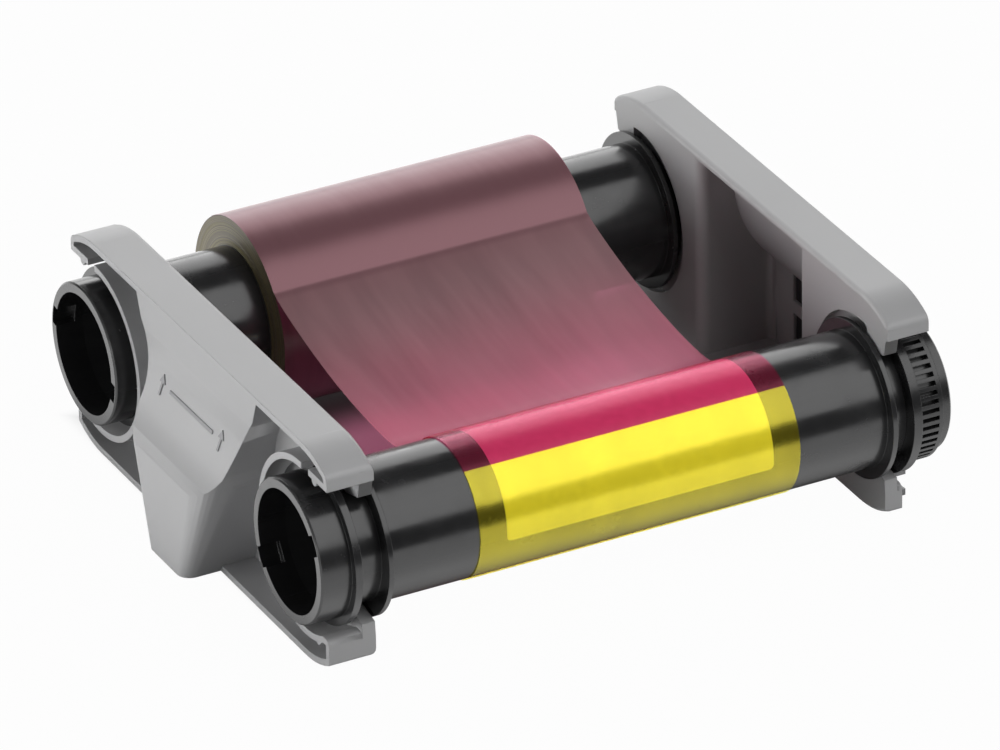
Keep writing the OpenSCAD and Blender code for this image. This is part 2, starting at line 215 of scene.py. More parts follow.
@dataclass(frozen=True)
class DyeFilm:
    """Polyester film with a dye coat, which tints what lies behind it and shines.

    Attributes:
        name: The material's name.
        clear: Tint of the light that comes through.
        body: Colour of the coat at the take-up core.
        body_far_painted_shade: Its colour where the film comes off the supply roll, darker:
            painted shade.
        body_share: How much of what is seen is the coat, at the take-up core.
        body_share_far: The same where the film comes off the supply roll.
        body_metal: How much of a mirror the coat of free film is.
        gloss_level: Strength of the polyester's own reflection.
        roughness: Roughness of the coat and the polyester.
        body_wound_painted_shade: Colour of the coat on the supply roll, darker: painted shade.
        wound_metal: How much of a mirror the coat is there.
    """

    name: str
    clear: str
    body: str
    body_far_painted_shade: str
    body_share: float
    body_share_far: float
    body_metal: float = 0.1
    gloss_level: float = 0.1
    roughness: float = 0.32
    body_wound_painted_shade: str = "845f65"
    wound_metal: float = 0.34

    def build(self) -> bpy.types.Material:
        """Makes the material.

        Returns:
            The material.
        """
        material, tree, out = new_material(self.name)
        along = add(tree, "SeparateXYZ", {"Vector": add(tree, "UVMap")}, "Y")
        # V runs from 0 at the take-up core to 1 where the film comes off the supply roll.
        far = add(tree, "MapRange", {"Value": along, "From Min": 0.08, "From Max": 0.9},
                  interpolation_type="SMOOTHSTEP")
        # Painted shade: the coat is painted darker and greyer towards the supply roll.
        body = add(tree, "MixRGB", {"Fac": far, "Color1": linear(self.body),
                                    "Color2": linear(self.body_far_painted_shade)})
        share = add(tree, "MapRange", {"Value": far, "To Min": self.body_share,
                                       "To Max": self.body_share_far})
        # On the supply roll the coat is painted darker, as painted shade, and is more of a mirror.
        wound = add(tree, "MapRange", {"Value": along, "From Min": 0.965})
        deep = add(tree, "MixRGB", {"Fac": wound, "Color1": body,
                                    "Color2": linear(self.body_wound_painted_shade)})
        metal = add(tree, "MapRange", {"Value": wound, "To Min": self.body_metal,
                                       "To Max": self.wound_metal})
        # Tension lines along the film, about 5 mm apart.
        place = add(tree, "TexCoord", output="Object")
        drawn = add(tree, "Mapping", {"Vector": place, "Scale": (1.0, 0.18, 0.18)})
        lines = add(tree, "TexNoise", {"Vector": drawn, "Scale": 1 / (5 * MM), "Detail": 2.0})
        bump = add(tree, "Bump", {"Strength": 0.5, "Distance": 0.35 * MM, "Height": lines})
        # Off the roll, the dye coat shows a little thicker and thinner along the same lines.
        uneven = add(tree, "MapRange", {"Value": lines, "From Min": 0.35, "From Max": 0.65,
                                        "To Min": 0.93, "To Max": 1.07})
        loose = add(tree, "Math", {0: 1.0, 1: wound}, operation="SUBTRACT")
        dyed = add(tree, "MixRGB", {"Fac": loose, "Color1": deep, "Color2": uneven},
                   blend_type="MULTIPLY")
        coat = add(tree, "BsdfPrincipled", {"Roughness": self.roughness, "IOR": 1.58,
                                            "Specular IOR Level": 0.0, "Base Color": dyed,
                                            "Metallic": metal, "Normal": bump})
        clear = add(tree, "BsdfTransparent", {"Color": linear(self.clear)})
        # Light that falls through the film is tinted and not weakened.
        falling = add(tree, "LightPath", output="Is Shadow Ray")
        kept = add(tree, "Math", {0: 1.0, 1: falling}, operation="SUBTRACT")
        held = add(tree, "Math", {0: share, 1: kept}, operation="MULTIPLY")
        both = add(tree, "MixShader", {"Fac": held, 1: clear, 2: coat})
        # The polyester's own reflection, which has no tint and lies over the dye.
        gloss = add(tree, "BsdfPrincipled", {"Base Color": (0, 0, 0, 1),
                                             "Roughness": self.roughness, "IOR": 1.58,
                                             "Specular IOR Level": self.gloss_level,
                                             "Normal": bump})
        whole = add(tree, "AddShader", {0: both, 1: gloss})
        tree.links.new(whole, out.inputs["Surface"])
        return material


@dataclass(frozen=True)
class WoundFilm:
    """Many turns of dye film: a satin outside and ends that show the layers as fine rings.

    Attributes:
        name: The material's name.
        outside: Colour of the outer turn.
        outside_low: Its colour in the faint lines.
        rings: Colours of the layers on the ends.
        axis_y: Place of the roll's axis along Y, in metres.
        axis_z: Its height in metres.
    """

    name: str
    outside: str
    outside_low: str
    rings: tuple[str, ...]
    axis_y: float
    axis_z: float

    def build(self) -> bpy.types.Material:
        """Makes the material.

        Returns:
            The material.
        """
        material, tree, out = new_material(self.name)
        place = add(tree, "TexCoord", output="Object")
        centred = add(tree, "Mapping", {"Vector": place,
                                        "Location": (0.0, -self.axis_y, -self.axis_z)})
        parts = add(tree, "SeparateXYZ", {"Vector": centred}).node
        flat = add(tree, "CombineXYZ", {"Y": parts.outputs["Y"], "Z": parts.outputs["Z"]})
        radius = add(tree, "VectorMath", {0: flat}, "Value", operation="LENGTH")
        # One turn is a few hundredths of a millimetre: bands of turns 0.3 mm apart show as rings.
        turns = add(tree, "Math", {0: radius, 1: 1 / (0.3 * MM)}, operation="MULTIPLY")
        band = add(tree, "TexNoise", {"Scale": 1.0, "Detail": 3.0, "W": turns},
                   noise_dimensions="1D")
        steps = [(0.3 + 0.45 * i / (len(self.rings) - 1), c) for i, c in enumerate(self.rings)]
        layered = add(tree, "ValToRGB", {"Fac": band}, stops=steps)
        # The end faces look along X.
        normal = add(tree, "NewGeometry", output="Normal")
        facing = add(tree, "SeparateXYZ", {"Vector": normal}, "X")
        square = add(tree, "Math", {0: facing}, operation="ABSOLUTE")
        is_end = add(tree, "Math", {0: square, 1: 0.6}, operation="GREATER_THAN")
        # Wound film keeps faint lines along its turns, about 1.5 mm apart over the width.
        drawn = add(tree, "Mapping", {"Vector": place, "Scale": (1.0, 0.06, 0.06)})
        lines = add(tree, "TexNoise", {"Vector": drawn, "Scale": 1 / (1.5 * MM), "Detail": 3.0})
        skin = add(tree, "ValToRGB", {"Fac": lines},
                   stops=[(0.3, self.outside_low), (0.75, self.outside)])
        colour = add(tree, "MixRGB", {"Fac": is_end, "Color1": skin, "Color2": layered})
        rough = add(tree, "MapRange", {"Value": is_end, "To Min": 0.34, "To Max": 0.5})
        height = add(tree, "MixRGB", {"Fac": is_end, "Color1": lines, "Color2": band})
        bump = add(tree, "Bump", {"Strength": 0.3, "Distance": 0.05 * MM, "Height": height})
        shader = add(tree, "BsdfPrincipled", {"IOR": 1.6, "Metallic": 0.05,
                                              "Specular IOR Level": 0.48, "Base Color": colour,
                                              "Roughness": rough, "Normal": bump})
        tree.links.new(shader, out.inputs["Surface"])
        return material


@dataclass(frozen=True)
class CoatedPaper:
    """Smooth coated paper or card: nearly even, with fibre cloudiness that dulls the shine.

    Attributes:
        name: The material's name.
        colour: Its colour.
        fibre: Its colour between the clumps of fibre.
        roughness: Its roughness.
    """

    name: str
    colour: str
    fibre: str
    roughness: float = 0.5

    def build(self) -> bpy.types.Material:
        """Makes the material.

        Returns:
            The material.
        """
        material, tree, out = new_material(self.name)
        place = add(tree, "TexCoord", output="Object")
        # Paper formation: soft clumps of fibre about 1.2 mm across.
        clump = add(tree, "TexNoise", {"Vector": place, "Scale": 1 / (1.2 * MM), "Detail": 4.0})
        tone = add(tree, "ValToRGB", {"Fac": clump},
                   stops=[(0.35, self.fibre), (0.65, self.colour)])
        bump = add(tree, "Bump", {"Strength": 0.1, "Distance": 0.02 * MM, "Height": clump})
        shader = add(tree, "BsdfPrincipled", {"Roughness": self.roughness, "IOR": 1.5,
                                              "Base Color": tone, "Normal": bump})
        tree.links.new(shader, out.inputs["Surface"])
        return material


def finish_piece(bm: bmesh.types.BMesh, name: str, material: bpy.types.Material, body: Body,
                 replaced: tuple[str, ...] = (),
                 smooth: float = 40.0) -> bpy.types.Object:
    """Turns a bmesh into a dressed piece that rides on its body.

    Args:
        bm: The mesh, in metres in the row frame. It is freed.
        name: The piece's name.
        material: Its finish.
        body: The body that it rides on.
        replaced: CAD nodes that it stands for.
        smooth: Largest angle between faces that still shade as one, in degrees.

    Returns:
        The new object.
    """
    mesh = bpy.data.meshes.new(name)
    bm.to_mesh(mesh)
    bm.free()
    mesh.materials.append(material)
    piece = bpy.data.objects.new(name, mesh)
    bpy.context.scene.collection.objects.link(piece)
    mesh.shade_smooth()
    mesh.set_sharp_from_angle(angle=math.radians(smooth))
    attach(piece, body.value)
    if replaced:
        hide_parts(*replaced)
    LOG.info("%s: %d faces on %s", name, len(mesh.polygons), body.value)
    return piece


def dress_node(node: str, material: bpy.types.Material) -> None:
    """Gives a CAD node that is shown as it is a finish.

    Args:
        node: The node's name.
        material: Its finish.
    """
    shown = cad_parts[node]
    shown.data.materials.clear()
    shown.data.materials.append(material)
    LOG.info("%s: CAD node dressed in %s", node, material.name)


def turned(points: list[tuple[float, float]], axis: Vector, steps: int, start: float = 0.0,
           sweep: float = 360.0) -> bmesh.types.BMesh:
    """Spins a closed profile about an axis that runs along X.

    Args:
        points: Radius and station along X of each profile point, in metres.
        axis: A point on the axis.
        steps: Faces round the sweep.
        start: Angle of the first profile from the rear to the top, in degrees.
        sweep: Angle swept, in degrees.

    Returns:
        The mesh, with its faces outwards.
    """
    bm = bmesh.new()
    a = math.radians(start)
    ring = [bm.verts.new((x, axis.y + r * math.cos(a), axis.z + r * math.sin(a)))
            for r, x in points]
    edges = [bm.edges.new((p, q)) for p, q in zip(ring, ring[1:] + ring[:1])]
    bmesh.ops.spin(bm, geom=ring + edges, cent=axis, axis=(1, 0, 0), angle=math.radians(sweep),
                   steps=steps, use_merge=sweep == 360.0, use_duplicate=False)
    bmesh.ops.remove_doubles(bm, verts=bm.verts, dist=WELD)
    # A part turn is open at its two ends.
    rims = [edge for edge in bm.edges if edge.is_boundary]
    bmesh.ops.holes_fill(bm, edges=rims, sides=0)
    bmesh.ops.recalc_face_normals(bm, faces=bm.faces)
    return bm


@dataclass(frozen=True)
class CassetteSizes:
    """Sizes in millimetres that the pieces share, as in the part's source.

    Attributes:
        axis_gap: From the take-up axis to the supply axis.
        take_up_y: Place of the take-up axis.
        half_h: Height of the axes, half the flasks' height.
        film_w: Width of the film.
        roll_r: Radius of the supply roll.
        barrel_r: Radius of the cores' barrels.
        tape_t: Thickness of the label and the leader tape, with the glue.
        wrap_out_r: Outer radius of the film on the take-up core.
        half_gap: From the middle to a flask's inner face.
        grip_mid: From the take-up axis to the grips' middle.
        scoop_u: From a flask's inner face to the middle of the scoop's arc.
        scoop_z: Height of that middle over the axes.
        scoop_r: Radius of the arc.
    """

    axis_gap: float = 77.0
    take_up_y: float = -40.15
    half_h: float = 20.2
    film_w: float = 60.0
    roll_r: float = 17.3
    barrel_r: float = 12.0
    tape_t: float = 0.1
    wrap_out_r: float = 12.22
    half_gap: float = 48.0
    grip_mid: float = 38.5
    scoop_u: float = 30.6
    scoop_z: float = 13.8
    scoop_r: float = 22.0

    @property
    def take_up_axis(self) -> Vector:
        """A point on the take-up axis, in metres."""
        return Vector((0.0, self.take_up_y, self.half_h)) * MM

    @property
    def supply_axis(self) -> Vector:
        """A point on the supply axis, in metres."""
        return Vector((0.0, self.take_up_y + self.axis_gap, self.half_h)) * MM


SIZES = CassetteSizes()


class Finishes:
    """Every finish of the cassette, built once."""

    def __init__(self) -> None:
        """Builds the materials."""
        self.flask = MouldedSatin("flask_grey_polystyrene", "ababac", "a7a7a8").build()
        # Painted shade: the right flask's grey is a darker copy of the left one's.
        self.flask_right_shaded = MouldedSatin("right_flask_painted_shade_grey", "a0a0a1",
                                        "9c9c9d").build()
        # Painted shade: the raised mark gets a darker grey than the flask round it.
        self.mark = MouldedSatin("mark_painted_shade_grey", "8c8c8e", "88888a").build()
        self.core = MouldedGloss("core_black_abs", "242425", "282829").build()
        self.hub = MouldedGloss("hub_black_abs", "1e1e1f", "222223", 0.26).build()
        # Painted shade: the hanging film's far colour is darker and greyer.
        self.magenta = DyeFilm("magenta_dye_film", clear="e87ba6", body="ce5076",
                               body_far_painted_shade="937074", body_share=0.46, body_share_far=0.85).build()
        # The wraps are shells, so light crosses two walls: their values are for one wall.
        self.magenta_wrap = DyeFilm("magenta_dye_wrap", clear="f6b4d0", body="c84e72",
                                    body_far_painted_shade="c84e72", body_share=0.09, body_share_far=0.09,
                                    gloss_level=0.09, roughness=0.28).build()
        self.yellow_wrap = DyeFilm("yellow_dye_wrap", clear="fffbb2", body="f9ec5c",
                                   body_far_painted_shade="f9ec5c", body_share=0.15, body_share_far=0.15,
                                   body_metal=0.84, gloss_level=0.08, roughness=0.22).build()
        axis = SIZES.supply_axis
        self.roll = WoundFilm("wound_dye_film", "4f353c", "412c31",
                              ("4e473b", "81794e", "615849", "463f34", "9a9144"),
                              axis.y, axis.z).build()
        self.label = CoatedPaper("label_coated_paper", "f6f6f2", "efefea").build()
        self.tape = CoatedPaper("leader_tape", "3a3936", "302f2d", 0.3).build()
        self.tag = CoatedPaper("tag_black_card", "242426", "1e1e20", 0.4).build()


@dataclass
class Flask:
    """One side moulding with its grip.

    Attributes:
        side: Which of the two it is.
        finishes: The materials.
        edge_r: Radius of the rails' edges in millimetres.
        flat_limit: Largest angle between faces that are joined to one, in degrees.
        smooth: Largest angle between faces that shade as one, in degrees.
    """

    side: Side
    finishes: Finishes
    edge_r: float = 0.9
    flat_limit: float = 0.3
    smooth: float = 34.0

    def flat_cut(self, bm: bmesh.types.BMesh, start: Vector, end: Vector, corner: Vector) -> None:
        """Cuts what stands beyond one flat of a rounded edge and closes the cut.

        Args:
            bm: The flask's merged mesh.
            start: A point on the flat's first long side.
            end: A point on its other long side.
            corner: A point on the sharp edge that goes.
        """
        along = end - start
        normal = Vector((-along.z, 0.0, along.x)).normalized()
        if normal.dot(corner - start) < 0:
            normal.negate()
        bmesh.ops.bisect_plane(bm, geom=bm.verts[:] + bm.edges[:] + bm.faces[:], dist=WELD,
                               plane_co=start, plane_no=normal, clear_outer=True)
        rim = [edge for edge in bm.edges if edge.is_boundary
               and all(abs(normal.dot(v.co - start)) < 10 * WELD for v in edge.verts)]
        bmesh.ops.holes_fill(bm, edges=rim, sides=0)

    def round_rails(self, bm: bmesh.types.BMesh) -> None:
        """Rounds the rails' inner edges where the grip leaves them sharp, on three flats.

        Args:
            bm: The flask's merged mesh.
        """
        bend = [(self.edge_r * (1 - math.cos(math.radians(a))),
                 self.edge_r * (1 - math.sin(math.radians(a)))) for a in (0, 30, 60, 90)]
        for level, down in ((2 * SIZES.half_h, -1), (0.0, 1)):
            flats = [Vector((self.side.value * (SIZES.half_gap + x), 0.0, level + down * z)) * MM
                     for x, z in bend]
            corner = Vector((self.side.value * SIZES.half_gap, 0.0, level)) * MM
            for start, end in zip(flats, flats[1:]):
                self.flat_cut(bm, start, end, corner)

    def build(self) -> bpy.types.Object:
        """Makes the flask from a merged copy of its node, rounds those edges and dresses it.

        Returns:
            The flask.
        """
        left = self.side is Side.LEFT
        node = "left_flask" if left else "right_flask"
        bm = bmesh.new()
        bm.from_mesh(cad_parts[node].data)
        bmesh.ops.remove_doubles(bm, verts=bm.verts, dist=WELD)
        self.round_rails(bm)
        bmesh.ops.dissolve_limit(bm, angle_limit=math.radians(self.flat_limit), verts=bm.verts,
                                 edges=bm.edges)
        LOG.info("%s: %d open edges left", node, sum(edge.is_boundary for edge in bm.edges))
        piece = finish_piece(bm, node + "_moulding",
                             self.finishes.flask if left else self.finishes.flask_right_shaded,
                             Body.FRAME, (node,), self.smooth)
        even = piece.modifiers.new("even_faces", "WEIGHTED_NORMAL")
        even.keep_sharp = True
        return piece


@dataclass
class UpMark:
    """Two plain arrows at the ends of a bar, raised on the left grip's finger scoop.

    Attributes:
        finishes: The materials.
        arrow_w: Width of an arrow's head in millimetres, as all sizes here.
        arrow_h: Height of an arrow.
        stem_w: Width of its stem.
        head_h: Height of its head.
        bar_w: Length of the bar.
        bar_h: Its thickness.
        pitch: From one arrow to the other.
        foot_z: Height of the arrows' feet over the axes.
        height: How far the mark stands proud.
        sunk: How far it reaches into the scoop.
    """

    finishes: Finishes
    arrow_w: float = 2.0
    arrow_h: float = 3.6
    stem_w: float = 0.55
    head_h: float = 1.5
    bar_w: float = 16.0
    bar_h: float = 0.6
    pitch: float = 22.0
    foot_z: float = 5.2
    height: float = 0.16
    sunk: float = 0.05

    def on_scoop(self, y: float, z: float, lift: float) -> Vector:
        """Puts a point of the flat mark on the scoop.

        Args:
            y: Place along the row from the grip's middle, in millimetres.
            z: Height above the spool axes, in millimetres.
            lift: Distance out of the scoop's surface, in millimetres.

        Returns:
            The point in metres.
        """
        r = SIZES.scoop_r - lift
        dz = z - SIZES.scoop_z
        u = SIZES.scoop_u - math.sqrt(r * r - dz * dz)
        return Vector((-(SIZES.half_gap + u), SIZES.take_up_y + SIZES.grip_mid + y,
                       SIZES.half_h + z)) * MM

    def strokes(self) -> list[list[tuple[float, float]]]:
        """Draws the bar and both arrows flat.

        Returns:
            Their outlines, as places along the row and heights over the axes, in millimetres.
        """
        half, stem, top = self.arrow_w / 2, self.stem_w / 2, self.foot_z + self.arrow_h
        neck = top - self.head_h
        mid = self.foot_z + (self.arrow_h - self.bar_h) / 2
        end = self.bar_w / 2
        shapes = [[(-end, mid), (end, mid), (end, mid + self.bar_h), (-end, mid + self.bar_h)]]
        for y in (-self.pitch / 2, self.pitch / 2):
            shapes.append([(y - stem, self.foot_z), (y + stem, self.foot_z), (y + stem, neck),
                           (y + half, neck), (y, top), (y - half, neck), (y - stem, neck)])
        return shapes

    def build(self) -> bpy.types.Object:
        """Makes the mark.

        Returns:
            The mark.
        """
        bm = bmesh.new()
        for outline in self.strokes():
            face = bm.faces.new([bm.verts.new((y, z, -self.sunk)) for y, z in outline])
            raised = bmesh.ops.extrude_face_region(bm, geom=[face])["geom"]
            bmesh.ops.translate(bm, vec=(0, 0, self.sunk + self.height),
                                verts=[v for v in raised if isinstance(v, bmesh.types.BMVert)])
        for vert in bm.verts:
            vert.co = self.on_scoop(*vert.co)
        bmesh.ops.recalc_face_normals(bm, faces=bm.faces)
        return finish_piece(bm, "up_mark", self.finishes.mark, Body.FRAME)


@dataclass
class Spool:
    """A core with its drive hub.

    Attributes:
        body: The body that it is.
        finishes: The materials.
    """

    body: Body
    finishes: Finishes

    def build(self) -> None:
        """Dresses the core and the hub."""
        prefix = "supply" if self.body is Body.SUPPLY else "take_up"
        dress_node(prefix + "_core", self.finishes.core)
        dress_node(prefix + "_drive_hub", self.finishes.hub)


@dataclass
class WoundRoll:
    """The film that is wound on the supply core.

    Attributes:
        finishes: The materials.
        proud: How far bands of turns stand proud of the ends at most, in millimetres.
        inset: How far the ends lie inside the film's width, in millimetres.
        bands: Bands of turns on an end.
        steps: Faces round the roll.
    """

    finishes: Finishes
    proud: float = 0.072
    inset: float = 0.15
    bands: int = 14
    steps: int = 128

    def build(self) -> bpy.types.Object:
        """Spins the roll's section, with turns that stand a little proud at both ends.

        Returns:
            The roll.
        """
        inner = SIZES.barrel_r + SIZES.tape_t
        left = []
        for i in range(self.bands + 1):
            r = inner + (SIZES.roll_r - inner) * i / self.bands
            wander = self.proud * math.sin(i * 2.7) * math.cos(i * 1.1)
            left.append((r * MM, (self.inset + wander - SIZES.film_w / 2) * MM))
        right = [(r, -x) for r, x in reversed(left)]
        bm = turned(left + right, SIZES.supply_axis, self.steps)
        return finish_piece(bm, "supply_film_roll", self.finishes.roll, Body.SUPPLY,
                            ("supply_roll",), 50.0)


@dataclass
class FilmSpan:
    """The free film that hangs between the spools.

    Attributes:
        finishes: The materials.
        leave_angle: Where it leaves the roll, in degrees from the rear to the top.
        touch_angle: Where it meets the take-up core, in degrees.
        low_share: Place of its lowest point, as a share of the gap between the axes.
        low_z: Height of that point over the axes, in millimetres.
        pull_shares: How far it runs straight on at the roll, behind and before the lowest
            point and at the core, as shares of that gap.
        gap: Clearance over what it lies on, in millimetres.
        roll_wrap: How much of the roll it covers, in degrees.
        core_wrap: How much of the core it covers, in degrees.
        bow: Rise of its middle where it hangs free, in millimetres.
        ripple: Height of its ripple there, in millimetres.
        roll_steps: Rows of faces on the roll.
        fall_steps: Rows down to the lowest point.
        rise_steps: Rows up to the core.
        core_steps: Rows on the core.
        columns: Faces across it.
    """

    finishes: Finishes
    leave_angle: float = 142.0
    touch_angle: float = 38.0
    low_share: float = 0.286
    low_z: float = 2.4
    pull_shares: tuple[float, float, float, float] = (0.026, 0.234, 0.065, 0.052)
    gap: float = 0.07
    roll_wrap: float = 88.0
    core_wrap: float = 14.0
    bow: float = 0.22
    ripple: float = 0.07
    roll_steps: int = 24
    fall_steps: int = 36
    rise_steps: int = 16
    core_steps: int = 4
    columns: int = 24

    def curve(self, ends: tuple[Vector, Vector, Vector, Vector], share: float) -> Vector:
        """Finds a point of a Bezier curve.

        Args:
            ends: Its four control points.
            share: Place along it from 0 to 1.

        Returns:
            The point.
        """
        p, q, r, s = ends
        t, k = share, 1 - share
        return p * k ** 3 + q * (3 * t * k * k) + r * (3 * t * t * k) + s * t ** 3

    def path(self) -> list[Vector]:
        """Lays out the film's path from the roll to the take-up core.

        Returns:
            Its points, as depth and height from the take-up axis, in millimetres.
        """
        gap = SIZES.axis_gap
        supply = Vector((gap, 0.0))

        def polar(r: float, a: float) -> Vector:
            """Point on a circle about an axis."""
            return Vector((r * math.cos(math.radians(a)), r * math.sin(math.radians(a))))

        def tangent(a: float) -> Vector:
            """Direction of rising angle on such a circle."""
            return Vector((-math.sin(math.radians(a)), math.cos(math.radians(a))))

        roll_r, core_r = SIZES.roll_r + self.gap, SIZES.wrap_out_r + self.gap
        leave = supply + polar(roll_r, self.leave_angle)
        touch = polar(core_r, self.touch_angle)
        low = Vector((gap * self.low_share, self.low_z))
        off, behind, before, on = (share * gap for share in self.pull_shares)
        fall = (leave, leave + tangent(self.leave_angle) * off, low + Vector((behind, 0)), low)
        rise = (low, low - Vector((before, 0)), touch - tangent(self.touch_angle) * on, touch)
        points = [supply + polar(roll_r, self.leave_angle
                                 - self.roll_wrap * (1 - i / self.roll_steps))
                  for i in range(self.roll_steps)]
        points += [self.curve(fall, i / self.fall_steps) for i in range(self.fall_steps)]
        points += [self.curve(rise, i / self.rise_steps) for i in range(self.rise_steps + 1)]
        points += [polar(core_r, self.touch_angle + self.core_wrap * i / self.core_steps)
                   for i in range(1, self.core_steps + 1)]
        return points

    def swept(self, path: list[Vector]) -> bmesh.types.BMesh:
        """Sweeps a path across the film's width.

        Args:
            path: Its points, as depth and height in millimetres.

        Returns:
            The mesh, with the take-up axis at the origin.
        """
        bm = bmesh.new()
        first = [bm.verts.new((-SIZES.film_w / 2 * MM, p.x * MM, p.y * MM)) for p in path]
        front = [bm.edges.new((p, q)) for p, q in zip(first, first[1:])]
        for _ in range(self.columns):
            grown = bmesh.ops.extrude_edge_only(bm, edges=front)["geom"]
            verts = [g for g in grown if isinstance(g, bmesh.types.BMVert)]
            front = [g for g in grown if isinstance(g, bmesh.types.BMEdge)
                     and all(v in verts for v in g.verts)]
            bmesh.ops.translate(bm, vec=(SIZES.film_w / self.columns * MM, 0, 0), verts=verts)
        return bm

    def build(self) -> bpy.types.Object:
        """Makes the film, with a slight bow and ripple where it hangs free.

        Returns:
            The film.
        """
        path = self.path()
        lengths = [0.0]
        for p, q in zip(path, path[1:]):
            lengths.append(lengths[-1] + (q - p).length)
        roll_end, core_start = lengths[self.roll_steps], lengths[-1 - self.core_steps]
        shares = [max(0.0, min(1.0, (s - roll_end) / (core_start - roll_end))) for s in lengths]
        bm = self.swept(path)
        uv = bm.loops.layers.uv.new("film")
        free = {}
        for vert in bm.verts:
            spot = Vector((vert.co.y, vert.co.z)) / MM
            gaps = [(point - spot).length_squared for point in path]
            free[vert] = shares[gaps.index(min(gaps))]
        for vert, share in free.items():
            swell = math.sin(math.pi * share)
            across = vert.co.x / (SIZES.film_w / 2 * MM)
            bow = self.bow * (1 - across * across)
            wave = self.ripple * math.sin(across * 7.3 + share * 5.0) * math.cos(share * 9.0)
            vert.co.z += swell * (bow + wave) * MM
        for face in bm.faces:
            for loop in face.loops:
                loop[uv].uv = (loop.vert.co.x / (SIZES.film_w * MM) + 0.5, 1 - free[loop.vert])
        bmesh.ops.translate(bm, vec=SIZES.take_up_axis, verts=bm.verts)
        bmesh.ops.recalc_face_normals(bm, faces=bm.faces)
        piece = finish_piece(bm, "hanging_film", self.finishes.magenta, Body.FRAME,
                             ("film_span",), 60.0)
        return piece


@dataclass
class TakeUpFilm:
    """The film and the label that lie on the take-up core.

    Attributes:
        finishes: The materials.
        touch_angle: Where the free film meets the core, in degrees from the rear to the top.
        panel_angle: Where the magenta panel ends and the yellow one starts, in degrees.
        label_start: First angle of the label, in degrees.
        label_end: Its last angle.
        label_w: Its width in millimetres.
        label_corner: Radius of its corners in millimetres.
        label_rows: Rows of faces round it.
        clear: Clearance between layers, in millimetres.
        columns: Faces across a sleeve.
    """

    finishes: Finishes
    touch_angle: float = 38.0
    panel_angle: float = 123.0
    label_start: float = 45.0
    label_end: float = 188.0
    label_w: float = 50.0
    label_corner: float = 0.9
    label_rows: int = 60
    clear: float = 0.01
    columns: int = 12

    def label_sheet(self, inner: float, outer: float) -> bmesh.types.BMesh:
        """Cuts the label flat with rounded corners, thickens it and lays it on the core.

        Args:
            inner: Radius of its back in millimetres.
            outer: Radius of its face in millimetres.

        Returns:
            The mesh.
        """
        half = self.label_w / 2
        length = math.radians(self.label_end - self.label_start) * inner
        bm = bmesh.new()
        bm.faces.new([bm.verts.new((x, s, 0.0))
                      for x, s in ((-half, 0.0), (half, 0.0), (half, length), (-half, length))])
        bmesh.ops.bevel(bm, geom=bm.verts[:], offset=self.label_corner, affect="VERTICES",
                        segments=5, profile=0.5, material=-1)
        for i in range(1, self.label_rows):
            bmesh.ops.bisect_plane(bm, geom=bm.verts[:] + bm.edges[:] + bm.faces[:],
                                   plane_co=(0, length * i / self.label_rows, 0),
                                   plane_no=(0, 1, 0))
        raised = bmesh.ops.extrude_face_region(bm, geom=bm.faces[:])["geom"]
        bmesh.ops.translate(bm, vec=(0, 0, outer - inner),
                            verts=[v for v in raised if isinstance(v, bmesh.types.BMVert)])
        for vert in bm.verts:
            turn = math.radians(self.label_start) + vert.co.y / inner
            radius = inner + vert.co.z
            vert.co = (SIZES.take_up_axis + Vector((vert.co.x, radius * math.cos(turn),
                                                    radius * math.sin(turn))) * MM)
        bmesh.ops.recalc_face_normals(bm, faces=bm.faces)
        return bm

    def sleeve(self, inner: float, start: float, end: float, steps: int) -> bmesh.types.BMesh:
        """Spins a thin sleeve of film with a UV map.

        Args:
            inner: Inner radius in millimetres.
            start: First angle in degrees.
            end: Last angle in degrees.
            steps: Faces round it.

        Returns:
            The mesh.
        """
        width = SIZES.film_w
        low = [(inner * MM, (width * i / self.columns - width / 2) * MM)
               for i in range(self.columns + 1)]
        high = [(SIZES.wrap_out_r * MM, x) for _, x in low]
        bm = turned(low + high[::-1], SIZES.take_up_axis, steps, start, end - start)
        uv = bm.loops.layers.uv.new("film")
        for face in bm.faces:
            for loop in face.loops:
                loop[uv].uv = (loop.vert.co.x / (width * MM) + 0.5, 0.0)
        return bm

    def build(self) -> None:
        """Makes the label and both dye panels."""
        top = SIZES.barrel_r + SIZES.tape_t
        label = self.label_sheet(SIZES.barrel_r + self.clear, top - self.clear)
        finish_piece(label, "core_label", self.finishes.label, Body.TAKE_UP,
                     ("take_up_label",))
        for dye, finish, start, end, steps in (
                ("magenta", self.finishes.magenta_wrap, self.touch_angle, self.panel_angle, 40),
                ("yellow", self.finishes.yellow_wrap, self.panel_angle,
                 360 + self.touch_angle, 120)):
            finish_piece(self.sleeve(top + self.clear, start, end, steps), dye + "_panel", finish,
                         Body.TAKE_UP, ("take_up_" + dye + "_wrap",))


@dataclass(frozen=True)
class Softbox:
    """A soft rectangular lamp.

    Attributes:
        name: Its name.
        place: Where it hangs, in metres.
        size: Its width and height in metres.
        power: Its power in watts.
        aim: What it faces, in metres.
    """

    name: str
    place: tuple[float, float, float]
    size: tuple[float, float]
    power: float
    aim: tuple[float, float, float] = (0.0, 0.0, 0.02)

    def build(self) -> None:
        """Hangs the lamp in the scene."""
        data = bpy.data.lights.new(self.name, "AREA")
        data.shape = "RECTANGLE"
        data.size, data.size_y = self.size
        data.energy = self.power
        lamp = bpy.data.objects.new(self.name, data)
        lamp.location = self.place
        facing = Vector(self.aim) - Vector(self.place)
        lamp.rotation_euler = facing.to_track_quat("-Z", "Y").to_euler()
        bpy.context.scene.collection.objects.link(lamp)


